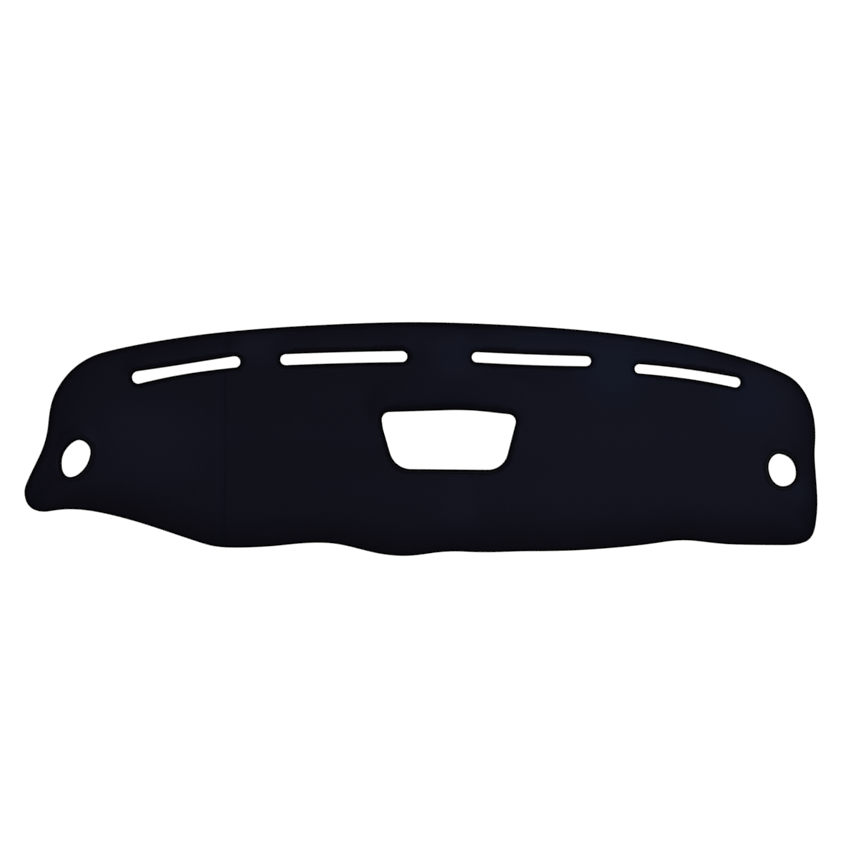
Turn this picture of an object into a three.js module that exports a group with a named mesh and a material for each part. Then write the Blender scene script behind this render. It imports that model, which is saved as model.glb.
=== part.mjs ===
import * as THREE from "three";

// Dashboard cover mat: one sheet of soft fabric bonded to a thin foam, cut to the top of a
// dashboard, with seven openings and a bound edge all round. It is shown as it comes to rest
// on a level surface: the middle lies flat and the moulded borders bow up and turn down.
// Millimetres. +X runs to the right, +Y toward the windscreen, +Z up.

// The sheet
const coverWidth = 1450;
const coverDepth = 427.6;
const sheetThickness = 4.6;
const boundEdgeThickness = 3.2;
const thinningWidth = 6;
const hemWidth = 6;
const borderRing = 14;

// The bow of each border: its height, how far in it peaks and where it lies flat again
const frontBow = { height: 8.6, peak: 96, flat: 240 };
const rearBow = { height: 3, peak: 42, flat: 114 };
const leftBow = { height: 3.4, peak: 100, flat: 240 };
const rightBow = { height: 7.6, peak: 90, flat: 250 };
// The same behind an opening, where its rim turns down, and round the rest of it
const slotRearBow = { height: 1.9, peak: 10, flat: 60 };
const ductRearBow = { height: 3.6, peak: 27, flat: 110 };
const earRearBow = { height: 2, peak: 12, flat: 56 };
const openingBow = { height: 0, peak: 6, flat: 12 };
const rollSharpness = 2.8;

// The shipping fold: a pressed band from the front edge to the rear edge
const foldFrontX = -364.6;
const foldRearX = -353.5;
const foldBendY = 110;
const foldRearY = 198;
const foldHalfWidth = 7;
const foldSoftness = 3.4;
const foldDepth = 0.3;

// How finely the sheet is divided
const edgeStep = 17;
const edgeTurn = 14;
const openingStep = 15;
const openingTurn = 24;
const fineSpacing = 17;
const fineBorder = 62;
const foldSpacing = 14;
const sampleStep = 6;

// Outline, drawn anticlockwise from the left end of the front lobe: x, y, direction of travel
const drawnOutline = [
  [-725, -97, 270],
  [-715, -124, 316],
  [-688, -133, 360],
  [-672, -131, 368],
  [-642, -128.5, 360],
  [-597, -132.6, 350],
  [-525, -149.8, 343.8],
  [-411, -187, 342],
  [-382, -195.3, 348.5],
  [-338, -198.7, 360],
  [-277, -196.4, 364],
  [-233, -192.2, 365.5],
  [-188, -189.7, 360],
  [-158, -191.4, 352.5],
  [-128, -197.2, 346.5],
  [-85, -207.8, 347.8],
  [-30, -213.8, 360],
  [20, -208.7, 367.8],
  [64, -205.6, 360],
  [94, -206.7, 358.2],
  [132, -207, 361],
  [199, -205.3, 360],
  [304, -202.6, 363.5],
  [394, -195, 366],
  [438, -189.2, 368.6],
  [481, -185.3, 360],
  [520, -188.5, 353],
  [573, -193, 358.2],
  [663, -194.1, 360],
  [692.6, -191.5, 375],
  [708, -185, 397],
  [718, -171, 429],
  [723, -146, 442.8],
  [725, -116, 450],
  [722.6, -71, 454],
  [720, -26, 450],
  [721.3, 4, 449],
  [719.4, 33.6, 458.3],
  [706.6, 76.5, 476],
  [679, 111, 503.5],
  [652.3, 125.3, 515.9],
  [581.8, 150.5, 523.8],
  [494.5, 171.5, 528.8],
  [391, 188.3, 532],
  [271.8, 201.3, 535.3],
  [137, 209.7, 537.3],
  [-14, 213.8, 540],
  [-163, 209.6, 542.7],
  [-297.4, 201.4, 544.7],
  [-416.7, 189, 548],
  [-520.2, 172.2, 551],
  [-575, 160, 554.6],
  [-606.6, 148.6, 567],
  [-642.6, 122.1, 586],
  [-668.2, 85.3, 604],
  [-680, 42.4, 623],
  [-682, 24, 624],
  [-686.9, -2, 614.3],
  [-697.3, -30, 605.3],
  [-716.5, -70, 606],
];

// The drawing is stretched to the cover's width and depth, and the openings move with it.
const drawnX = drawnOutline.map(([x]) => x);
const drawnY = drawnOutline.map(([, y]) => y);
const stretchX = coverWidth / (Math.max(...drawnX) - Math.min(...drawnX));
const stretchY = coverDepth / (Math.max(...drawnY) - Math.min(...drawnY));
const place = (x, y) => [x * stretchX, y * stretchY];

// Air outlets along the windscreen: the tips of each slot, its width at the left, middle and
// right, and how far its middle bows toward the windscreen
const outerLeftSlot = {
  left: place(-528, 110.8),
  right: place(-330.4, 142.6),
  widths: [22.6, 17.6, 20.4],
  bow: 1.5,
};
const innerLeftSlot = {
  left: place(-257.1, 144.8),
  right: place(-24.9, 151),
  widths: [19.8, 19.6, 19.8],
  bow: 0.8,
};
const innerRightSlot = {
  left: place(93, 149.8),
  right: place(311, 142),
  widths: [18.6, 18.8, 18],
  bow: -1,
};
const outerRightSlot = {
  left: place(390.9, 129.6),
  right: place(583.9, 102.4),
  widths: [16.8, 16.6, 18.4],
  bow: 2.8,
};

// The centre outlet: corners and their radii, anticlockwise from the front left
const ductCorners = [
  { at: place(-48, -54.6), radius: 40 },
  { at: place(151, -56.4), radius: 37 },
  { at: place(177, 43.3), radius: 14 },
  { at: place(85, 53.6), radius: 500 },
  { at: place(-73.2, 48.8), radius: 14 },
  { at: place(-69.8, 20), radius: 110 },
];

// The two ears' outlets, near the ends: a centre, and a free egg shape round it given as
// x, y and direction of travel
const leftEarOpening = {
  centre: place(-631, -36),
  shape: [
    [-25.7, -7.6, 270],
    [-18, -31, 322],
    [-6.5, -33, 371],
    [12.5, -21, 407],
    [24.2, -0.5, 434],
    [26.6, 12, 450],
    [15.4, 31.1, 510],
    [4, 33.8, 550],
    [-15.5, 20, 588],
  ],
};
const rightEarOpening = {
  centre: place(660.5, -56.6),
  shape: [
    [-24.8, 5.6, 270],
    [-18.3, -17.4, 302],
    [0.5, -29.6, 358],
    [21.7, -18.7, 418],
    [24.9, -5.4, 450],
    [18.8, 15.6, 483],
    [-4.5, 29.3, 532],
    [-20.9, 19.8, 598],
  ],
};

const radians = Math.PI / 180;

function smooth(value) {
  const t = Math.min(1, Math.max(0, value));
  return t * t * (3 - 2 * t);
}

function foldX(y) {
  return foldFrontX + (foldRearX - foldFrontX) * Math.max(0, (y - foldBendY) / (foldRearY - foldBendY));
}

const foldColumns = [
  -foldHalfWidth - foldSoftness,
  -foldHalfWidth + foldSoftness,
  foldHalfWidth - foldSoftness,
  foldHalfWidth + foldSoftness,
];

// A slot with round ends: knots at both tips and at the ends and middle of its long sides
function slotKnots({ left, right, widths, bow }) {
  const length = Math.hypot(right[0] - left[0], right[1] - left[1]);
  const tilt = Math.atan2(right[1] - left[1], right[0] - left[0]);
  const [leftHalf, middleHalf, rightHalf] = widths.map((width) => width / 2);
  const slope = (rise) => Math.atan((4 * rise) / length) / radians;
  const local = [
    [0, 0, 270],
    [leftHalf, -leftHalf, slope(bow - middleHalf + leftHalf)],
    [length / 2, bow - middleHalf, 0],
    [length - rightHalf, -rightHalf, slope(middleHalf - rightHalf - bow)],
    [length, 0, 90],
    [length - rightHalf, rightHalf, 180 + slope(rightHalf - middleHalf - bow)],
    [length / 2, bow + middleHalf, 180],
    [leftHalf, leftHalf, 180 + slope(bow + middleHalf - leftHalf)],
  ];
  return local.map(([along, across, heading]) => [
    left[0] + along * Math.cos(tilt) - across * Math.sin(tilt),
    left[1] + along * Math.sin(tilt) + across * Math.cos(tilt),
    heading + tilt / radians,
  ]);
}

// The outline's knots at the cover's own size, each still heading along the drawn edge
function stretchedKnots(knots) {
  return knots.map(([x, y, heading]) => {
    const along = Math.cos(heading * radians);
    const across = Math.sin(heading * radians);
    const turn = Math.atan2(across * stretchY, along * stretchX) - Math.atan2(across, along);
    return [...place(x, y), heading + turn / radians];
  });
}

function eggKnots({ centre, shape }) {
  return shape.map(([x, y, heading]) => [centre[0] + x, centre[1] + y, heading]);
}

// A closed shape with straight sides and a round at each corner
function cornerKnots(corners) {
  return corners.flatMap((corner, index) => {
    const before = corners[(index + corners.length - 1) % corners.length].at;
    const after = corners[(index + 1) % corners.length].at;
    const [x, y] = corner.at;
    const arrive = Math.atan2(y - before[1], x - before[0]);
    const leave = Math.atan2(after[1] - y, after[0] - x);
    const turn = (((leave - arrive) / radians + 540) % 360 - 180) * radians;
    const cut = corner.radius * Math.abs(Math.tan(turn / 2));
    return [
      [x - cut * Math.cos(arrive), y - cut * Math.sin(arrive), arrive / radians],
      [x + cut * Math.cos(leave), y + cut * Math.sin(leave), leave / radians],
    ];
  });
}

// A smooth closed edge through the knots, walked in short steps; side is 1 where the sheet
// lies to the left of travel and -1 where it lies to the right.
function walkEdge(knots, side) {
  const points = [];
  knots.forEach((knot, index) => {
    const next = knots[(index + 1) % knots.length];
    const from = knot[2] * radians;
    const turn = ((next[2] - knot[2] + 540) % 360 - 180) * radians;
    const chord = Math.hypot(next[0] - knot[0], next[1] - knot[1]);
    const reach = chord / (3 * Math.cos(turn / 4) ** 2);
    const curve = new THREE.CubicBezierCurve(
      new THREE.Vector2(knot[0], knot[1]),
      new THREE.Vector2(knot[0] + reach * Math.cos(from), knot[1] + reach * Math.sin(from)),
      new THREE.Vector2(next[0] - reach * Math.cos(from + turn), next[1] - reach * Math.sin(from + turn)),
      new THREE.Vector2(next[0], next[1]),
    );
    const count = Math.ceil(chord);
    for (let step = 0; step < count; step += 1) {
      const place = curve.getPoint(step / count);
      const travel = curve.getTangent(step / count);
      points.push({
        x: place.x,
        y: place.y,
        inX: -travel.y * side,
        inY: travel.x * side,
        heading: Math.atan2(travel.y, travel.x) / radians,
      });
    }
  });
  return points;
}

// Stations along the edge: closer round the bends and one on each line of the fold.
function placeStations(walk, maxStep, maxTurn) {
  const stations = [walk[0]];
  let length = 0;
  let turn = 0;
  for (let index = 1; index < walk.length; index += 1) {
    const here = walk[index];
    const before = walk[index - 1];
    length += Math.hypot(here.x - before.x, here.y - before.y);
    turn += Math.abs((here.heading - before.heading + 540) % 360 - 180);
    const across = here.x - foldX(here.y);
    const acrossBefore = before.x - foldX(before.y);
    const nearFold = Math.abs(across) < 15;
    const onFold = foldColumns.some((line) => (across - line) * (acrossBefore - line) <= 0);
    if (onFold || (!nearFold && (length >= maxStep || turn >= maxTurn))) {
      stations.push(here);
      length = 0;
      turn = 0;
    }
  }
  const last = stations[stations.length - 1];
  if (Math.hypot(last.x - walk[0].x, last.y - walk[0].y) < 0.4 * maxStep) {
    stations.pop();
  }
  return stations;
}

function makeEdge(knots, side, step, turn, bow) {
  const walk = walkEdge(knots, side);
  const samples = walk.filter((point, index) => index % sampleStep === 0).map((point, index, all) => {
    const next = all[(index + 1) % all.length];
    const shape = bow(point.inX, point.inY);
    return { x: point.x, y: point.y, length: Math.hypot(next.x - point.x, next.y - point.y), shape };
  });
  return { stations: placeStations(walk, step, turn), samples };
}

// The bow at a place on an edge, by the way the sheet lies from it.
function mixBows(front, rear, left, right) {
  return (inX, inY) => {
    const shares = [Math.max(0, inY), Math.max(0, -inY), Math.max(0, inX), Math.max(0, -inX)];
    const mix = (key) => [front, rear, left, right].reduce((sum, bow, index) => sum + bow[key] * shares[index] ** 2, 0);
    return { height: mix("height"), peak: mix("peak"), flat: mix("flat") };
  };
}

const outline = makeEdge(stretchedKnots(drawnOutline), 1, edgeStep, edgeTurn, mixBows(frontBow, rearBow, leftBow, rightBow));
const openings = [
  [slotKnots(outerLeftSlot), slotRearBow],
  [slotKnots(innerLeftSlot), slotRearBow],
  [slotKnots(innerRightSlot), slotRearBow],
  [slotKnots(outerRightSlot), slotRearBow],
  [cornerKnots(ductCorners), ductRearBow],
  [eggKnots(leftEarOpening), earRearBow],
  [eggKnots(rightEarOpening), earRearBow],
].map(([knots, bow]) =>
  makeEdge(knots, -1, openingStep, openingTurn, mixBows(bow, openingBow, openingBow, openingBow)),
);
const edges = [outline, ...openings];

// Distance to an edge, rounded off where two stretches of it are near, and its bow there.
function reachEdge(edge, x, y) {
  let pull = 0;
  let height = 0;
  let peak = 0;
  let flat = 0;
  edge.samples.forEach((sample) => {
    const square = Math.max(1, (sample.x - x) ** 2 + (sample.y - y) ** 2);
    const weight = sample.length / (square * square);
    pull += weight;
    height += weight * sample.shape.height;
    peak += weight * sample.shape.peak;
    flat += weight * sample.shape.flat;
  });
  const distance = Math.cbrt(Math.PI / (2 * pull));
  return { distance, height: height / pull, peak: peak / pull, flat: flat / pull };
}

// Height of the underside over the floor, and the thickness of the sheet, at one place.
function sheetAt(x, y) {
  let lift = 0;
  let fullness = 1;
  edges.forEach((edge) => {
    const near = reachEdge(edge, x, y);
    const rise = 1 - Math.max(0, 1 - near.distance / near.peak) ** rollSharpness;
    const fall = 1 - smooth((near.distance - near.peak) / (near.flat - near.peak));
    lift += near.height * rise * fall;
    fullness *= smooth(near.distance / thinningWidth);
  });
  const across = Math.abs(x - foldX(y));
  const press = foldDepth * smooth((foldHalfWidth + foldSoftness - across) / (2 * foldSoftness));
  const thickness = boundEdgeThickness + (sheetThickness - boundEdgeThickness) * fullness - press;
  return { lift: lift < 0.01 ? 0 : lift, thickness };
}

// Plan triangles over a set of points: each is added in turn and the triangles whose circle
// holds it are replaced by a fan round it.
function triangulate(points) {
  const far = 1e5;
  const all = [...points, [-far, -far], [far, -far], [0, far]];
  const circle = (a, b, c) => {
    const [ax, ay] = all[a];
    const bx = all[b][0] - ax;
    const by = all[b][1] - ay;
    const cx = all[c][0] - ax;
    const cy = all[c][1] - ay;
    const d = 2 * (bx * cy - by * cx);
    const ux = (cy * (bx * bx + by * by) - by * (cx * cx + cy * cy)) / d;
    const uy = (bx * (cx * cx + cy * cy) - cx * (bx * bx + by * by)) / d;
    return { a, b, c, x: ax + ux, y: ay + uy, square: ux * ux + uy * uy };
  };
  let triangles = [circle(points.length, points.length + 1, points.length + 2)];
  const order = points.map((point, index) => index);
  order.sort((i, j) => points[i][0] - points[j][0]);
  const finished = [];
  order.forEach((index) => {
    const [x, y] = all[index];
    const rim = new Map();
    const open = [];
    triangles.forEach((t) => {
      const dx = x - t.x;
      if (dx > 0 && dx * dx > t.square) {
        finished.push(t);
      } else if (dx * dx + (y - t.y) ** 2 < t.square * (1 + 1e-12)) {
        [[t.a, t.b], [t.b, t.c], [t.c, t.a]].forEach(([from, to]) => {
          const back = `${to},${from}`;
          if (rim.has(back)) {
            rim.delete(back);
          } else {
            rim.set(`${from},${to}`, [from, to]);
          }
        });
      } else {
        open.push(t);
      }
    });
    rim.forEach(([from, to]) => open.push(circle(from, to, index)));
    triangles = open;
  });
  return [...finished, ...triangles]
    .filter((t) => Math.max(t.a, t.b, t.c) < points.length)
    .map((t) => [t.a, t.b, t.c]);
}

function offset(station, distance) {
  return [station.x + station.inX * distance, station.y + station.inY * distance];
}

function inside(loop, x, y) {
  let within = false;
  loop.forEach(([ax, ay], index) => {
    const [bx, by] = loop[(index + 1) % loop.length];
    if ((ay > y) !== (by > y) && x < ax + ((y - ay) * (bx - ax)) / (by - ay)) {
      within = !within;
    }
  });
  return within;
}

function gapTo(loop, x, y) {
  let nearest = Infinity;
  loop.forEach(([ax, ay], index) => {
    const [bx, by] = loop[(index + 1) % loop.length];
    const along = ((x - ax) * (bx - ax) + (y - ay) * (by - ay)) / ((bx - ax) ** 2 + (by - ay) ** 2);
    const t = Math.min(1, Math.max(0, along));
    nearest = Math.min(nearest, Math.hypot(ax + (bx - ax) * t - x, ay + (by - ay) * t - y));
  });
  return nearest;
}

// Plan of the field inside the hems: the inner ring of every edge, the two sides of the fold
// and an even spread of points between, closer along the borders.
const fieldLoops = edges.map((edge, index) => {
  const ring = index === 0 ? borderRing : hemWidth;
  return edge.stations.map((station) => offset(station, ring));
});
const plan = fieldLoops.flat();
function inField(x, y, clearance) {
  const held = inside(fieldLoops[0], x, y) && !fieldLoops.slice(1).some((loop) => inside(loop, x, y));
  return held && fieldLoops.every((loop) => gapTo(loop, x, y) > clearance);
}
for (let y = -coverDepth / 2; y < coverDepth / 2; y += foldSpacing) {
  foldColumns.forEach((line) => {
    const x = foldX(y) + line;
    if (inField(x, y, 5)) {
      plan.push([x, y]);
    }
  });
}
const rowSpacing = fineSpacing * Math.sqrt(0.75);
const lastRow = Math.ceil(coverDepth / 2 / rowSpacing);
const lastColumn = Math.ceil(coverWidth / 2 / fineSpacing);
for (let row = -lastRow; row <= lastRow; row += 1) {
  for (let column = -lastColumn; column <= lastColumn; column += 1) {
    const x = (column + (row % 2 === 0 ? 0 : 0.5)) * fineSpacing;
    const y = row * rowSpacing;
    const coarse = row % 2 === 0 && (column + row / 2) % 2 === 0;
    if (Math.abs(x - foldX(y)) > 16 && inField(x, y, 9) && (coarse || !inField(x, y, fineBorder))) {
      plan.push([x, y]);
    }
  }
}
const fieldTriangles = triangulate(plan).filter((corners) => {
  const x = corners.reduce((sum, corner) => sum + plan[corner][0], 0) / 3;
  const y = corners.reduce((sum, corner) => sum + plan[corner][1], 0) / 3;
  return inside(fieldLoops[0], x, y) && !fieldLoops.slice(1).some((loop) => inside(loop, x, y));
});

// The sheet's two faces, then the rounded hem that joins them round every edge.
const vertices = [];
const faces = [];
plan.forEach(([x, y]) => {
  const { lift, thickness } = sheetAt(x, y);
  vertices.push([x, y, lift + thickness], [x, y, lift]);
});
fieldTriangles.forEach(([a, b, c]) => {
  faces.push([2 * a, 2 * b, 2 * c], [2 * c + 1, 2 * b + 1, 2 * a + 1]);
});

// Hem section from the top face round to the underside: distance in, share of edge thickness
const hemSection = [
  [1.7, 0.93],
  [0.35, 0.7],
  [0, 0.38],
  [1, 0],
];
let firstInLoop = 0;
edges.forEach((edge, index) => {
  const rings = [];
  const flip = index > 0;
  const onBorder = index === 0;
  const count = edge.stations.length;
  const innerTop = edge.stations.map((station, k) => 2 * (firstInLoop + k));
  rings.push(innerTop);
  const hemHeights = edge.stations.map((station) => sheetAt(...offset(station, hemWidth)));
  const addRing = (distance, height) => {
    rings.push(edge.stations.map((station, k) => {
      vertices.push([...offset(station, distance), height(hemHeights[k])]);
      return vertices.length - 1;
    }));
  };
  if (onBorder) {
    addRing(hemWidth, (hem) => hem.lift + hem.thickness);
  }
  hemSection.forEach(([distance, share]) => {
    addRing(distance, (hem) => (hem.lift * distance) / hemWidth + share * boundEdgeThickness);
  });
  if (onBorder) {
    addRing(hemWidth, (hem) => hem.lift);
  }
  rings.push(innerTop.map((vertex) => vertex + 1));
  for (let ring = 0; ring + 1 < rings.length; ring += 1) {
    for (let k = 0; k < count; k += 1) {
      const next = (k + 1) % count;
      const quad = [rings[ring][k], rings[ring + 1][k], rings[ring + 1][next], rings[ring][next]];
      const [a, b, c, d] = flip ? [quad[0], quad[3], quad[2], quad[1]] : quad;
      faces.push([a, b, c], [a, c, d]);
    }
  }
  firstInLoop += count;
});

const geometry = new THREE.BufferGeometry();
geometry.setAttribute("position", new THREE.Float32BufferAttribute(vertices.flat(), 3));
geometry.setIndex(faces.flat());
geometry.computeVertexNormals();

const fabric = new THREE.MeshStandardMaterial({ color: 0x14151f, roughness: 0.95, metalness: 0 });
const mat = new THREE.Mesh(geometry, fabric);
mat.name = "mat";

const group = new THREE.Group();
group.name = "dashboard_cover_mat";
group.add(mat);

export default group;
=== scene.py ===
import math

import bpy
import numpy as np
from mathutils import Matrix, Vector
from mathutils.geometry import delaunay_2d_cdt


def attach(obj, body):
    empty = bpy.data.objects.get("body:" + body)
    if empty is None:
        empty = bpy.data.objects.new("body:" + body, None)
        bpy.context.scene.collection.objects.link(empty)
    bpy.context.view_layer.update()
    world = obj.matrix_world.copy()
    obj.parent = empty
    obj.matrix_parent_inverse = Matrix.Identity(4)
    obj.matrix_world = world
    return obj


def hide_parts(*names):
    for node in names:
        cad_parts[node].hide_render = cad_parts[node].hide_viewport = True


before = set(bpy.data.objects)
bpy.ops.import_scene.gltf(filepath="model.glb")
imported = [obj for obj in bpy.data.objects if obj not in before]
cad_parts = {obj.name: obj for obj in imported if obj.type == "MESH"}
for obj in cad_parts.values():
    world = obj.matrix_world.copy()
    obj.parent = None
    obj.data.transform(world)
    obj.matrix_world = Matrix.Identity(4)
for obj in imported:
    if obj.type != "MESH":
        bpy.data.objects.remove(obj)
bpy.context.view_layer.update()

# The mat. One sheet of short brushed polyester pile, very dark navy, bonded to a thin foam
# with a plain black skin. It is cut with a template to the top of a dashboard and moulded
# with heat, and its cut edge is pressed thin under the overlock stitching.

# Sizes of the sheet and of its edge, in millimetres like all of this section
sheet_thickness = 4.6
bound_edge_thickness = 3.2
thinning_width = 6.0
hem_width = 6.0

# Outline, anticlockwise from the left end: x, y and direction of travel in degrees
outline_knots = [
    (-725, -97, 270), (-715, -124, 316), (-688, -133, 360), (-672, -131, 368),
    (-642, -128.5, 360), (-597, -132.6, 350), (-525, -149.8, 343.8), (-411, -187, 342),
    (-382, -195.3, 348.5), (-338, -198.7, 360), (-277, -196.4, 364), (-233, -192.2, 365.5),
    (-188, -189.7, 360), (-158, -191.4, 352.5), (-128, -197.2, 346.5), (-85, -207.8, 347.8),
    (-30, -213.8, 360), (20, -208.7, 367.8), (64, -205.6, 360), (94, -206.7, 358.2),
    (132, -207, 361), (199, -205.3, 360), (304, -202.6, 363.5), (394, -195, 366),
    (438, -189.2, 368.6), (481, -185.3, 360), (520, -188.5, 353), (573, -193, 358.2),
    (663, -194.1, 360), (692.6, -191.5, 375), (708, -185, 397), (718, -171, 429),
    (723, -146, 442.8), (725, -116, 450), (722.6, -71, 454), (720, -26, 450),
    (721.3, 4, 449), (719.4, 33.6, 458.3), (706.6, 76.5, 476), (679, 111, 503.5),
    (652.3, 125.3, 515.9), (581.8, 150.5, 523.8), (494.5, 171.5, 528.8), (391, 188.3, 532),
    (271.8, 201.3, 535.3), (137, 209.7, 537.3), (-14, 213.8, 540), (-163, 209.6, 542.7),
    (-297.4, 201.4, 544.7), (-416.7, 189, 548), (-520.2, 172.2, 551), (-575, 160, 554.6),
    (-606.6, 148.6, 567), (-642.6, 122.1, 586), (-668.2, 85.3, 604), (-680, 42.4, 623),
    (-682, 24, 624), (-686.9, -2, 614.3), (-697.3, -30, 605.3), (-716.5, -70, 606),
]

# Outlet slots: tip, tip, width at the left, middle and right, and how far the middle bows rearward
slots = [
    ((-528, 110.8), (-330.4, 142.6), 22.6, 17.6, 20.4, 1.5),
    ((-257.1, 144.8), (-24.9, 151), 19.8, 19.6, 19.8, 0.8),
    ((93, 149.8), (311, 142), 18.6, 18.8, 18.0, -1.0),
    ((390.9, 129.6), (583.9, 102.4), 16.8, 16.6, 18.4, 2.8),
]
# Centre opening: x, y and radius of each corner
duct_corners = [
    (-48, -54.6, 40), (151, -56.4, 37), (177, 43.3, 14),
    (85, 53.6, 500), (-73.2, 48.8, 14), (-69.8, 20, 110),
]
# Openings in the ears: a middle, and knots round it
left_ear_centre = (-631, -36)
left_ear_shape = [
    (-25.7, -7.6, 270), (-18, -31, 322), (-6.5, -33, 371), (12.5, -21, 407), (24.2, -0.5, 434),
    (26.6, 12, 450), (15.4, 31.1, 510), (4, 33.8, 550), (-15.5, 20, 588),
]
right_ear_centre = (660.5, -56.6)
right_ear_shape = [
    (-24.8, 5.6, 270), (-18.3, -17.4, 302), (0.5, -29.6, 358), (21.7, -18.7, 418),
    (24.9, -5.4, 450), (18.8, 15.6, 483), (-4.5, 29.3, 532), (-20.9, 19.8, 598),
]


def slot_knots(left, right, left_width, middle_width, right_width, bow):
    """Knots of a slot with round ends, anticlockwise from its left tip."""
    length = math.dist(left, right)
    tilt = math.degrees(math.atan2(right[1] - left[1], right[0] - left[0]))
    left_half, middle_half, right_half = left_width / 2, middle_width / 2, right_width / 2

    def slope(rise):
        return math.degrees(math.atan(4 * rise / length))

    local = [
        (0, 0, 270),
        (left_half, -left_half, slope(bow - middle_half + left_half)),
        (length / 2, bow - middle_half, 0),
        (length - right_half, -right_half, slope(middle_half - right_half - bow)),
        (length, 0, 90),
        (length - right_half, right_half, 180 + slope(right_half - middle_half - bow)),
        (length / 2, bow + middle_half, 180),
        (left_half, left_half, 180 + slope(bow + middle_half - left_half)),
    ]
    return [
        (
            left[0] + along * math.cos(math.radians(tilt)) - across * math.sin(math.radians(tilt)),
            left[1] + along * math.sin(math.radians(tilt)) + across * math.cos(math.radians(tilt)),
            heading + tilt,
        )
        for along, across, heading in local
    ]


def corner_knots(corners):
    """Knots of a straight-sided opening with a round at each corner."""
    knots = []
    for index, (x, y, radius) in enumerate(corners):
        before = corners[index - 1]
        after = corners[(index + 1) % len(corners)]
        arrive = math.atan2(y - before[1], x - before[0])
        leave = math.atan2(after[1] - y, after[0] - x)
        turn = math.radians((math.degrees(leave - arrive) + 540) % 360 - 180)
        cut = radius * abs(math.tan(turn / 2))
        knots.append((x - cut * math.cos(arrive), y - cut * math.sin(arrive), math.degrees(arrive)))
        knots.append((x + cut * math.cos(leave), y + cut * math.sin(leave), math.degrees(leave)))
    return knots


def walk_edge(knots, side):
    """Points about 1 mm apart along the edge: x, y and the way into the sheet."""
    rows = []
    for index, (x, y, heading) in enumerate(knots):
        next_x, next_y, next_heading = knots[(index + 1) % len(knots)]
        start = math.radians(heading)
        turn = math.radians((next_heading - heading + 540) % 360 - 180)
        chord = math.hypot(next_x - x, next_y - y)
        reach = chord / (3 * math.cos(turn / 4) ** 2)
        p0 = np.array((x, y))
        p1 = p0 + reach * np.array((math.cos(start), math.sin(start)))
        p3 = np.array((next_x, next_y))
        p2 = p3 - reach * np.array((math.cos(start + turn), math.sin(start + turn)))
        count = math.ceil(chord)
        t = (np.arange(count) / count)[:, None]
        place = (1 - t) ** 3 * p0 + 3 * (1 - t) ** 2 * t * p1 + 3 * (1 - t) * t ** 2 * p2 + t ** 3 * p3
        travel = (1 - t) ** 2 * (p1 - p0) + 2 * (1 - t) * t * (p2 - p1) + t ** 2 * (p3 - p2)
        travel /= np.linalg.norm(travel, axis=1)[:, None]
        inward = np.stack([-travel[:, 1] * side, travel[:, 0] * side], axis=1)
        rows.append(np.hstack([place, inward]))
    return np.vstack(rows)


def moved(shape, centre):
    return [(centre[0] + x, centre[1] + y, heading) for x, y, heading in shape]


edge_walks = [walk_edge(outline_knots, 1)]
edge_walks += [walk_edge(slot_knots(*slot), -1) for slot in slots]
edge_walks.append(walk_edge(corner_knots(duct_corners), -1))
edge_walks.append(walk_edge(moved(left_ear_shape, left_ear_centre), -1))
edge_walks.append(walk_edge(moved(right_ear_shape, right_ear_centre), -1))

# Lie of the sheet, laid on a level floor: a band along its middle touches the floor
# Bow of each border: its height, how far in it peaks, and where the sheet lies flat again
front_bow = (8.6, 96.0, 240.0)
rear_bow = (3.0, 42.0, 114.0)
left_bow = (3.4, 100.0, 240.0)
right_bow = (7.6, 90.0, 250.0)
# The same behind an opening, where its rim turns down, and round the rest of it
slot_rear_bow = (1.9, 10.0, 60.0)
duct_rear_bow = (3.6, 27.0, 110.0)
ear_rear_bow = (2.0, 12.0, 56.0)
opening_bow = (0.0, 6.0, 12.0)
roll_sharpness = 2.8
# Every sixth place along an edge is enough for the bows, worked out for so many points at a time
pull_spacing = 6
points_at_a_time = 4000

# Fold from shipping: a pressed band from the front edge to the rear one, with a bend
fold_front_x = -364.6
fold_rear_x = -353.5
fold_bend_y = 110.0
fold_rear_y = 198.0
fold_half_width = 7.0
fold_softness = 3.4
fold_depth = 0.3


def smooth(value):
    t = np.clip(value, 0, 1)
    return t * t * (3 - 2 * t)


def fold_x(y):
    past_bend = np.maximum(0, (y - fold_bend_y) / (fold_rear_y - fold_bend_y))
    return fold_front_x + (fold_rear_x - fold_front_x) * past_bend


def edge_pull(walk, front, rear, left, right):
    """Places along an edge, the length each stands for, and the bow there by its facing."""
    samples = walk[::pull_spacing]
    length = np.linalg.norm(np.roll(samples[:, :2], -1, axis=0) - samples[:, :2], axis=1)
    facings = [samples[:, 3], -samples[:, 3], samples[:, 2], -samples[:, 2]]
    bows = sum(
        np.outer(np.maximum(0, facing) ** 2, bow)
        for facing, bow in zip(facings, (front, rear, left, right))
    )
    return samples[:, :2], length, bows


edge_pulls = [edge_pull(edge_walks[0], front_bow, rear_bow, left_bow, right_bow)]
rim_bows = [slot_rear_bow] * 4 + [duct_rear_bow] + [ear_rear_bow] * 2
for walk, rim_bow in zip(edge_walks[1:], rim_bows):
    edge_pulls.append(edge_pull(walk, rim_bow, opening_bow, opening_bow, opening_bow))


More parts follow.
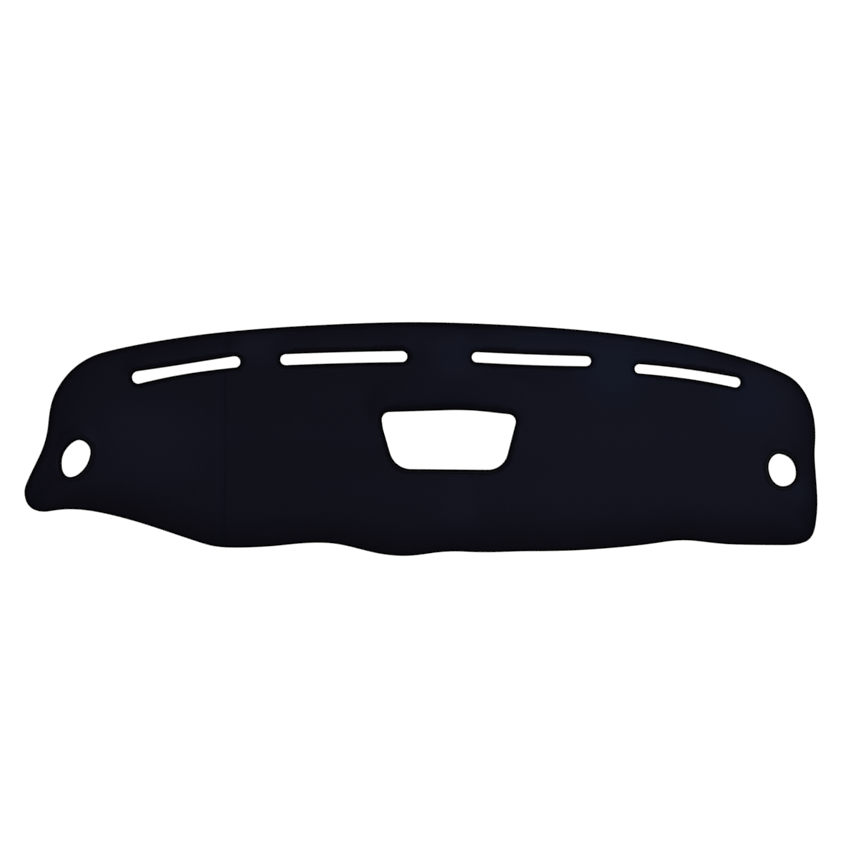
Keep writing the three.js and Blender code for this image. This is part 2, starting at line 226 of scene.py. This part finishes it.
def sheet_at(points):
    """Height of the underside and thickness at each place, in millimetres."""
    points = np.asarray(points, dtype=float)
    lift = np.zeros(len(points))
    fullness = np.ones(len(points))
    for places, length, bows in edge_pulls:
        pull = np.zeros(len(points))
        shape = np.zeros((len(points), 3))
        for first in range(0, len(points), points_at_a_time):
            now = slice(first, first + points_at_a_time)
            square = ((points[now][:, None, :] - places[None]) ** 2).sum(axis=2)
            weight = length / np.maximum(1, square) ** 2
            pull[now] = weight.sum(axis=1)
            shape[now] = weight @ bows
        distance = np.cbrt(np.pi / (2 * pull))
        height, peak, flat = (shape / pull[:, None]).T
        rise = 1 - np.maximum(0, 1 - distance / peak) ** roll_sharpness
        fall = 1 - smooth((distance - peak) / (flat - peak))
        lift += height * rise * fall
        fullness *= smooth(distance / thinning_width)
    across = np.abs(points[:, 0] - fold_x(points[:, 1]))
    press = fold_depth * smooth((fold_half_width + fold_softness - across) / (2 * fold_softness))
    thickness = bound_edge_thickness + (sheet_thickness - bound_edge_thickness) * fullness - press
    return lift, thickness


# Mesh: a fine fabric face and a coarser back, lines along the fold, and stations along each edge
outline_station_step = 4
opening_station_step = 3
fold_station_step = 2
fold_station_reach = 12
face_spacing = 5.0
face_fold_step = 1.75
back_spacing = 11.0
back_fold_step = 3.5
fold_lines_reach = 10.5
fold_clearance = 12.5
edge_clearance = 0.62
plan_half_width = 740
plan_half_depth = 230


def place_stations(walk, step):
    """Places along the edge for the mesh, closer together where the fold crosses it."""
    kept = [0]
    for index in range(1, len(walk)):
        near_fold = abs(walk[index, 0] - fold_x(walk[index, 1])) < fold_station_reach
        if index - kept[-1] >= (fold_station_step if near_fold else step):
            kept.append(index)
    if len(walk) - kept[-1] < step / 2:
        kept.pop()
    return walk[kept]


def inside_loop(loop, points):
    """True for each point inside the closed loop."""
    inside = np.zeros(len(points), dtype=bool)
    ax, ay = loop[:, 0], loop[:, 1]
    bx, by = np.roll(ax, -1), np.roll(ay, -1)
    for first in range(0, len(points), points_at_a_time):
        now = slice(first, first + points_at_a_time)
        x = points[now, 0][:, None]
        y = points[now, 1][:, None]
        spans = (ay > y) != (by > y)
        at = ax + (y - ay) * (bx - ax) / np.where(by == ay, 1e-9, by - ay)
        inside[now] = (spans & (x < at)).sum(axis=1) % 2 == 1
    return inside


def gap_to_edges(loops, points):
    """Distance from each point to the nearest place on the loops."""
    places = np.vstack(loops)
    nearest = np.empty(len(points))
    for first in range(0, len(points), points_at_a_time):
        now = slice(first, first + points_at_a_time)
        square = ((points[now][:, None, :] - places[None]) ** 2).sum(axis=2)
        nearest[now] = np.sqrt(square.min(axis=1))
    return nearest


def in_field(loops, points):
    """True for each point inside the outline's loop and outside every opening's."""
    inside = inside_loop(loops[0], points)
    for loop in loops[1:]:
        inside &= ~inside_loop(loop, points)
    return inside


def field_mesh(loops, spacing, fold_step):
    """Plan triangles inside the hems; the first points are the loops' own."""
    rows = []
    height = spacing * math.sqrt(0.75)
    last_row = int(plan_half_depth / height)
    for row in range(-last_row, last_row + 1):
        x = np.arange(-plan_half_width, plan_half_width, spacing) + (0 if row % 2 == 0 else spacing / 2)
        rows.append(np.stack([x, np.full(len(x), row * height)], axis=1))
    spread = np.vstack(rows)
    spread = spread[np.abs(spread[:, 0] - fold_x(spread[:, 1])) > fold_clearance]
    along = np.arange(-plan_half_depth, plan_half_depth, fold_step * 2.0)
    across = np.arange(-fold_lines_reach, fold_lines_reach + 0.1, fold_step)
    lines = [np.stack([fold_x(along) + offset, along], axis=1) for offset in across]
    spread = np.vstack([spread] + lines)
    spread = spread[in_field(loops, spread)]
    spread = spread[gap_to_edges(loops, spread) > edge_clearance * min(spacing, face_spacing)]
    rim = np.vstack(loops)
    points = np.vstack([rim, spread])
    edges = []
    first = 0
    for loop in loops:
        edges += [(first + k, first + (k + 1) % len(loop)) for k in range(len(loop))]
        first += len(loop)
    result = delaunay_2d_cdt([Vector(p) for p in points], edges, [], 0, 1e-6)
    places = np.array([tuple(v) for v in result[0]])
    triangles = np.array([f for f in result[2] if len(f) == 3])
    triangles = triangles[in_field(loops, places[triangles].mean(axis=1))]
    origin = [inputs[0] for inputs in result[3]]
    return points, np.array(origin)[triangles]


# Section of the edge, from the fabric face round to the back: distance in, share of edge thickness
hem_section = [
    (4.8, 1.12), (3.7, 1.07), (2.4, 1.01), (1.4, 0.94), (0.6, 0.80), (0.15, 0.60),
    (0.0, 0.40), (0.15, 0.22), (0.6, 0.07), (1.4, 0.0), (3.2, 0.0),
]
# The section's first strips are pile, the next ones lie under the stitching, the last are the back
fabric_side, back_side, edge_side = 0, 1, 2
first_edge_strip = 2
first_back_strip = 9


def build_sheet():
    """The closed sheet: fabric face, back, and the edge's section carried round every edge."""
    stations = [place_stations(edge_walks[0], outline_station_step)]
    stations += [place_stations(walk, opening_station_step) for walk in edge_walks[1:]]
    loops = [s[:, :2] + s[:, 2:] * hem_width for s in stations]
    top_points, top_faces = field_mesh(loops, face_spacing, face_fold_step)
    back_points, back_faces = field_mesh(loops, back_spacing, back_fold_step)
    top_lift, top_thickness = sheet_at(top_points)
    back_lift, _ = sheet_at(back_points)
    vertices = [np.column_stack([top_points, top_lift + top_thickness])]
    vertices.append(np.column_stack([back_points, back_lift]))
    back_first = len(top_points)
    faces = [tuple(f) for f in top_faces]
    face_sides = [fabric_side] * len(faces)
    flipped = back_faces[:, ::-1] + back_first
    faces += [tuple(f) for f in flipped]
    face_sides += [back_side] * len(flipped)
    total = back_first + len(back_points)
    rim = 0
    for index, ring in enumerate(stations):
        count = len(ring)
        numbers = np.arange(count)
        lift = top_lift[rim:rim + count]
        rings = [rim + numbers]
        for distance, share in hem_section:
            height = lift * distance / hem_width + share * bound_edge_thickness
            place = ring[:, :2] + ring[:, 2:] * distance
            vertices.append(np.column_stack([place, height]))
            rings.append(total + numbers)
            total += count
        rings.append(back_first + rim + numbers)
        for step in range(len(rings) - 1):
            outer, inner = rings[step + 1], rings[step]
            after = np.roll(numbers, -1)
            quads = np.stack([inner, outer, outer[after], inner[after]], axis=1)
            if index > 0:
                quads = quads[:, ::-1]
            faces += [tuple(q) for q in quads]
            side = edge_side if step >= first_edge_strip else fabric_side
            side = back_side if step >= first_back_strip else side
            face_sides += [side] * count
        rim += count
    mesh = bpy.data.meshes.new("fabric_sheet")
    places = np.vstack(vertices) * 0.001
    mesh.from_pydata(places.tolist(), [], [tuple(int(i) for i in f) for f in faces])
    mesh.polygons.foreach_set("material_index", face_sides)
    mesh.polygons.foreach_set("use_smooth", [True] * len(faces))
    mesh.update()
    return mesh


fabric_sheet = bpy.data.objects.new("fabric_sheet", build_sheet())
bpy.context.scene.collection.objects.link(fabric_sheet)


def new_material(name):
    material = bpy.data.materials.new(name)
    material.use_nodes = True
    nodes = material.node_tree.nodes
    return material, nodes, material.node_tree.links, nodes["Principled BSDF"]


def math_node(nodes, links, operation, first, second=None):
    node = nodes.new("ShaderNodeMath")
    node.operation = operation
    for socket, value in zip(node.inputs, (first, second)):
        if value is None:
            continue
        if isinstance(value, (int, float)):
            socket.default_value = value
        else:
            links.new(value, socket)
    return node.outputs[0]


def pile_grain_group():
    """Fine fibre grain: a shade from 0 to 1 and a height, both over object space."""
    group = bpy.data.node_groups.new("fibre grain", "ShaderNodeTree")
    for name in ("Fibre Size", "Clump Size"):
        group.interface.new_socket(name=name, in_out="INPUT", socket_type="NodeSocketFloat")
    for name in ("Shade", "Height"):
        group.interface.new_socket(name=name, in_out="OUTPUT", socket_type="NodeSocketFloat")
    nodes, links = group.nodes, group.links
    given = nodes.new("NodeGroupInput")
    out = nodes.new("NodeGroupOutput")
    place = nodes.new("ShaderNodeTexCoord")
    fibres = nodes.new("ShaderNodeTexNoise")
    fibres.inputs["Detail"].default_value = 3.0
    fibres.inputs["Roughness"].default_value = 0.7
    clumps = nodes.new("ShaderNodeTexNoise")
    clumps.inputs["Detail"].default_value = 2.0
    for noise, size in ((fibres, "Fibre Size"), (clumps, "Clump Size")):
        links.new(place.outputs["Object"], noise.inputs["Vector"])
        scale = math_node(nodes, links, "DIVIDE", 1.0, given.outputs[size])
        links.new(scale, noise.inputs["Scale"])
    blend = nodes.new("ShaderNodeMix")
    blend.data_type = "FLOAT"
    blend.inputs["Factor"].default_value = 0.45
    links.new(fibres.outputs["Fac"], blend.inputs["A"])
    links.new(clumps.outputs["Fac"], blend.inputs["B"])
    links.new(blend.outputs["Result"], out.inputs["Shade"])
    links.new(fibres.outputs["Fac"], out.inputs["Height"])
    return group


fibre_grain = pile_grain_group()


def add_grain(nodes, fibre_size, clump_size):
    grain = nodes.new("ShaderNodeGroup")
    grain.node_tree = fibre_grain
    grain.inputs["Fibre Size"].default_value = fibre_size
    grain.inputs["Clump Size"].default_value = clump_size
    return grain


def shaded(nodes, links, shade, dark, light):
    """Colour from dark to light by a shade."""
    ramp = nodes.new("ShaderNodeValToRGB")
    for element, position, colour in zip(ramp.color_ramp.elements, (0.3, 0.7), (dark, light)):
        element.position = position
        element.color = (*colour, 1)
    links.new(shade, ramp.inputs["Fac"])
    return ramp.outputs["Color"]


def raise_grain(nodes, links, shader, grain, strength, height):
    bump = nodes.new("ShaderNodeBump")
    bump.inputs["Strength"].default_value = strength
    bump.inputs["Distance"].default_value = height
    links.new(grain.outputs["Height"], bump.inputs["Height"])
    links.new(bump.outputs["Normal"], shader.inputs["Normal"])


# Painted highlights: patches where the pile's colour is made lighter and bluer to stand for light caught by
# the pile: middle, half size each way, strength
painted_highlight_patches = [
    (68, 152, 50, 38, 0.46),
    (352, 126, 66, 50, 0.62),
    (604, 70, 56, 56, 0.34),
    (692, -98, 24, 24, 0.30),
    (-290, 168, 44, 32, 0.22),
    (-500, -6, 120, 68, 0.21),
    (69, -122, 36, 50, 0.20),
    (235, 184, 120, 26, 0.36),
    (470, 160, 90, 24, 0.30),
    (430, 20, 290, 150, 0.24),
]
# And patches of painted shade, where the colour is made darker: behind the centre opening, at the middle of
# the rear edge and at the front corners
painted_shade_patches = [
    (48, 74, 82, 20, 0.60),
    (56, 206, 80, 18, 0.55),
    (722, -152, 70, 62, 0.50),
    (-722, -112, 34, 34, 0.50),
]


def patch_mask(nodes, links, place, patches):
    """Soft oval patches over the sheet, added together."""
    total = None
    for x, y, half_width, half_depth, strength in patches:
        from_middle = nodes.new("ShaderNodeVectorMath")
        from_middle.operation = "SUBTRACT"
        from_middle.inputs[1].default_value = (x * 0.001, y * 0.001, 0)
        links.new(place, from_middle.inputs[0])
        stretched = nodes.new("ShaderNodeVectorMath")
        stretched.operation = "MULTIPLY"
        stretched.inputs[1].default_value = (1000 / half_width, 1000 / half_depth, 0)
        links.new(from_middle.outputs[0], stretched.inputs[0])
        away = nodes.new("ShaderNodeVectorMath")
        away.operation = "LENGTH"
        links.new(stretched.outputs[0], away.inputs[0])
        fade = nodes.new("ShaderNodeMapRange")
        fade.interpolation_type = "SMOOTHERSTEP"
        fade.inputs["From Min"].default_value = 0.0
        fade.inputs["From Max"].default_value = 1.7
        fade.inputs["To Min"].default_value = strength
        fade.inputs["To Max"].default_value = 0.0
        links.new(away.outputs["Value"], fade.inputs["Value"])
        if total is None:
            total = fade.outputs["Result"]
        else:
            total = math_node(nodes, links, "ADD", total, fade.outputs["Result"])
    return total


def fabric_face():
    """Brushed navy pile, with painted highlights and painted shade in patches, and darker along the fold,
    where the pile lies flattened and painted shade stands for the crease.
    """
    material, nodes, links, shader = new_material("brushed_navy_pile")
    grain = add_grain(nodes, 0.0011, 0.006)
    place = nodes.new("ShaderNodeTexCoord")
    patches = nodes.new("ShaderNodeTexNoise")
    patches.inputs["Scale"].default_value = 5.0
    patches.inputs["Detail"].default_value = 3.0
    links.new(place.outputs["Object"], patches.inputs["Vector"])
    tone = math_node(nodes, links, "MULTIPLY", grain.outputs["Shade"], 0.7)
    patch = math_node(nodes, links, "MULTIPLY", patches.outputs["Fac"], 0.3)
    tone = math_node(nodes, links, "ADD", tone, patch)
    pile = shaded(nodes, links, tone, (0.0021, 0.0016, 0.0027), (0.0038, 0.0031, 0.0053))
    split = nodes.new("ShaderNodeSeparateXYZ")
    links.new(place.outputs["Object"], split.inputs[0])
    past_bend = math_node(nodes, links, "SUBTRACT", split.outputs["Y"], fold_bend_y * 0.001)
    lean = (fold_rear_x - fold_front_x) / (fold_rear_y - fold_bend_y)
    past_bend = math_node(nodes, links, "MAXIMUM", past_bend, 0.0)
    leaning = math_node(nodes, links, "MULTIPLY", past_bend, lean)
    from_fold = math_node(nodes, links, "SUBTRACT", split.outputs["X"], fold_front_x * 0.001)
    from_fold = math_node(nodes, links, "SUBTRACT", from_fold, leaning)
    from_fold = math_node(nodes, links, "ABSOLUTE", from_fold)
    # Band along the fold made darker: the pile flattened in the crease, and painted shade of the crease
    fold_crush_and_shade = nodes.new("ShaderNodeMapRange")
    fold_crush_and_shade.interpolation_type = "SMOOTHSTEP"
    fold_crush_and_shade.inputs["From Min"].default_value = (fold_half_width - 1.5) * 0.001
    fold_crush_and_shade.inputs["From Max"].default_value = (fold_half_width + 2.0) * 0.001
    fold_crush_and_shade.inputs["To Min"].default_value = 0.36
    fold_crush_and_shade.inputs["To Max"].default_value = 0.0
    links.new(from_fold, fold_crush_and_shade.inputs["Value"])
    # Painted shade: the fabric's colour is mixed toward this darker colour in the patches of painted shade
    # and along the fold
    darker = nodes.new("ShaderNodeMix")
    darker.data_type = "RGBA"
    darker.inputs["B"].default_value = (0.0015, 0.0016, 0.003, 1)
    # The mask of painted shade: its patches, and the band along the fold
    pressed = patch_mask(nodes, links, place.outputs["Object"], painted_shade_patches)
    pressed = math_node(nodes, links, "MAXIMUM", pressed, fold_crush_and_shade.outputs["Result"])
    links.new(pressed, darker.inputs["Factor"])
    links.new(pile, darker.inputs["A"])
    # Painted highlight: in these patches the fabric's colour is mixed toward a lighter, bluer colour
    brushed = patch_mask(nodes, links, place.outputs["Object"], painted_highlight_patches)
    lighter = nodes.new("ShaderNodeMix")
    lighter.data_type = "RGBA"
    # Colour of the painted highlight
    lighter.inputs["B"].default_value = (0.0048, 0.0070, 0.0140, 1)
    links.new(brushed, lighter.inputs["Factor"])
    links.new(darker.outputs["Result"], lighter.inputs["A"])
    links.new(lighter.outputs["Result"], shader.inputs["Base Color"])
    shader.inputs["Roughness"].default_value = 0.42
    shader.inputs["Specular IOR Level"].default_value = 0.020
    shader.inputs["Specular Tint"].default_value = (0.42, 0.53, 1.0, 1)
    shader.inputs["Sheen Weight"].default_value = 0.03
    shader.inputs["Sheen Roughness"].default_value = 0.45
    shader.inputs["Sheen Tint"].default_value = (0.62, 0.70, 1.0, 1)
    raise_grain(nodes, links, shader, grain, 0.25, 0.0003)
    return material


def foam_back():
    """Black foam skin with a fine cell texture."""
    material, nodes, links, shader = new_material("black_foam_back")
    grain = add_grain(nodes, 0.0018, 0.012)
    skin = shaded(nodes, links, grain.outputs["Shade"], (0.0075, 0.0075, 0.0085), (0.013, 0.013, 0.0145))
    links.new(skin, shader.inputs["Base Color"])
    shader.inputs["Roughness"].default_value = 0.85
    shader.inputs["Specular IOR Level"].default_value = 0.1
    raise_grain(nodes, links, shader, grain, 0.6, 0.0004)
    return material


def pressed_edge():
    """The strip under the stitching: pile pressed flat and covered with black thread."""
    material, nodes, links, shader = new_material("pressed_black_edge")
    grain = add_grain(nodes, 0.0007, 0.003)
    strip = shaded(nodes, links, grain.outputs["Shade"], (0.0002, 0.0002, 0.0003), (0.0008, 0.0008, 0.0011))
    links.new(strip, shader.inputs["Base Color"])
    shader.inputs["Roughness"].default_value = 0.9
    shader.inputs["Specular IOR Level"].default_value = 0.0
    return material


fabric_sheet.data.materials.append(fabric_face())
fabric_sheet.data.materials.append(foam_back())
fabric_sheet.data.materials.append(pressed_edge())
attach(fabric_sheet, "root")
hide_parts("mat")

# Edge stitching. A black polyester overlock that wraps the cut edge of the outline and of
# every opening: each stitch goes over the edge from the fabric face to the back and comes up
# again through the sheet.

stitch_pitch = 2.4
thread_radius = 0.42
thread_seat = 0.55
thread_sides = 4
stitch_reach = 3.5

# One stitch: share of the pitch along the edge, distance in, and its level: 1 on the face, 0 on the back
stitch_path = [
    (0.00, stitch_reach, 1.0),
    (0.22, 1.9, 1.0),
    (0.42, 0.45, 0.88),
    (0.52, -0.18, 0.42),
    (0.62, 0.9, 0.0),
    (0.80, 2.4, 0.0),
]


def face_height(distance):
    """Height of the fabric side of the edge at a distance in, on a flat sheet."""
    inward, shares = zip(*hem_section[6::-1])
    return np.interp(distance, inward, shares) * bound_edge_thickness


def build_thread():
    """One closed round of thread per edge, as a square tube smoothed to look round."""
    vertices = []
    faces = []
    total = 0
    for walk in edge_walks:
        steps = np.linalg.norm(np.roll(walk[:, :2], -1, axis=0) - walk[:, :2], axis=1)
        along = np.concatenate([[0], np.cumsum(steps)])
        closed = np.vstack([walk, walk[:1]])
        count = max(8, round(along[-1] / stitch_pitch))
        pitch = along[-1] / count
        place = (np.arange(count)[:, None] + np.array([p[0] for p in stitch_path])) * pitch
        place = place.ravel()
        distance = np.tile([p[1] for p in stitch_path], count)
        level = np.tile([p[2] for p in stitch_path], count)
        row = np.stack([np.interp(place, along, closed[:, k]) for k in range(4)], axis=1)
        row[:, 2:] /= np.linalg.norm(row[:, 2:], axis=1)[:, None]
        lift, _ = sheet_at(row[:, :2] + row[:, 2:] * hem_width)
        top = face_height(np.maximum(0, distance)) + thread_seat * thread_radius
        bottom = thread_radius
        height = bottom + (top - bottom) * level + lift * np.maximum(0, distance) / hem_width
        centre = np.column_stack([row[:, :2] + row[:, 2:] * distance[:, None], height])
        ahead = np.roll(centre, -1, axis=0) - np.roll(centre, 1, axis=0)
        ahead /= np.linalg.norm(ahead, axis=1)[:, None]
        beside = np.column_stack([-row[:, 3], row[:, 2], np.zeros(len(row))])
        beside -= ahead * (beside * ahead).sum(axis=1)[:, None]
        beside /= np.linalg.norm(beside, axis=1)[:, None]
        above = np.cross(ahead, beside)
        number = len(centre)
        numbers = np.arange(number)
        after = np.roll(numbers, -1)
        for turn in range(thread_sides):
            angle = math.tau * (turn + 0.5) / thread_sides
            vertices.append(centre + thread_radius * (math.cos(angle) * beside + math.sin(angle) * above))
            first = total + turn * number
            second = total + ((turn + 1) % thread_sides) * number
            quads = np.stack([first + numbers, first + after, second + after, second + numbers], axis=1)
            faces.append(quads)
        total += thread_sides * number
    mesh = bpy.data.meshes.new("edge_stitching")
    places = np.vstack(vertices) * 0.001
    mesh.from_pydata(places.tolist(), [], np.vstack(faces).tolist())
    mesh.polygons.foreach_set("use_smooth", [True] * len(mesh.polygons))
    mesh.update()
    return mesh


def black_thread():
    material, nodes, links, shader = new_material("black_overlock_thread")
    grain = add_grain(nodes, 0.0005, 0.003)
    thread = shaded(nodes, links, grain.outputs["Shade"], (0.0004, 0.0004, 0.0005), (0.0013, 0.0013, 0.0017))
    links.new(thread, shader.inputs["Base Color"])
    shader.inputs["Roughness"].default_value = 0.7
    shader.inputs["Specular IOR Level"].default_value = 0.004
    return material


edge_stitching = bpy.data.objects.new("edge_stitching", build_thread())
bpy.context.scene.collection.objects.link(edge_stitching)
edge_stitching.data.materials.append(black_thread())
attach(edge_stitching, "root")

# Camera. It looks straight down from high above the mat, with the windscreen side at the
# top, and frames it as the photograph does.

frame_middle = (0.0074, 0.0256)
frame_width = 1.554
framed_level = 0.003
film_width = 36.0
camera_height = 14.0
camera = bpy.data.objects.new("camera", bpy.data.cameras.new("camera"))
bpy.context.scene.collection.objects.link(camera)
camera.location = (*frame_middle, camera_height)
camera.data.sensor_width = film_width
camera.data.lens = film_width * (camera_height - framed_level) / frame_width
camera.data.clip_end = 100.0
bpy.context.scene.camera = camera

# Studio. A white floor, one broad soft lamp overhead, a little toward the windscreen side
# and the right, and an even white surround.

half = 40.0
floor_drop = 0.0002


def looked_at(nodes, links):
    """1 where the camera looks, straight, in a gloss or through a clear piece."""
    rays = nodes.new("ShaderNodeLightPath").outputs
    straight_or_gloss = math_node(nodes, links, "MAXIMUM", rays["Is Camera Ray"], rays["Is Glossy Ray"])
    return math_node(nodes, links, "MAXIMUM", straight_or_gloss, rays["Is Transmission Ray"])


floor_mesh = bpy.data.meshes.new("floor")
floor_corners = [(-half, -half, 0), (half, -half, 0), (half, half, 0), (-half, half, 0)]
floor_mesh.from_pydata(floor_corners, [], [(0, 1, 2, 3)])
floor = bpy.data.objects.new("floor", floor_mesh)
bpy.context.scene.collection.objects.link(floor)
floor.location = (0, 0, -floor_drop)
floor_material, nodes, links, shader = new_material("white_floor")
shader.inputs["Base Color"].default_value = (0.85, 0.85, 0.85, 1)
shader.inputs["Roughness"].default_value = 0.9
shader.inputs["Specular IOR Level"].default_value = 0.0
glow = math_node(nodes, links, "MULTIPLY", looked_at(nodes, links), 0.26)
shader.inputs["Emission Color"].default_value = (1, 1, 1, 1)
links.new(glow, shader.inputs["Emission Strength"])
floor.data.materials.append(floor_material)

key_lamp = bpy.data.objects.new("key_lamp", bpy.data.lights.new("key_lamp", "AREA"))
bpy.context.scene.collection.objects.link(key_lamp)
key_lamp.data.shape = "DISK"
key_lamp.data.size = 6.0
key_lamp.data.energy = 1250
key_lamp.location = (1.4, 0.9, 12.6)
key_lamp.rotation_euler = (Vector((0, 0, 0)) - key_lamp.location).to_track_quat("-Z", "Y").to_euler()

world = bpy.data.worlds.new("studio_surround")
bpy.context.scene.world = world
world.use_nodes = True
nodes, links = world.node_tree.nodes, world.node_tree.links
surround = nodes["Background"]
surround.inputs["Color"].default_value = (1, 1, 1, 1)
level = nodes.new("ShaderNodeMix")
level.data_type = "FLOAT"
level.inputs["A"].default_value = 0.3
level.inputs["B"].default_value = 1.0
links.new(looked_at(nodes, links), level.inputs["Factor"])
links.new(level.outputs["Result"], surround.inputs["Strength"])

bpy.context.scene.view_settings.view_transform = "Standard"
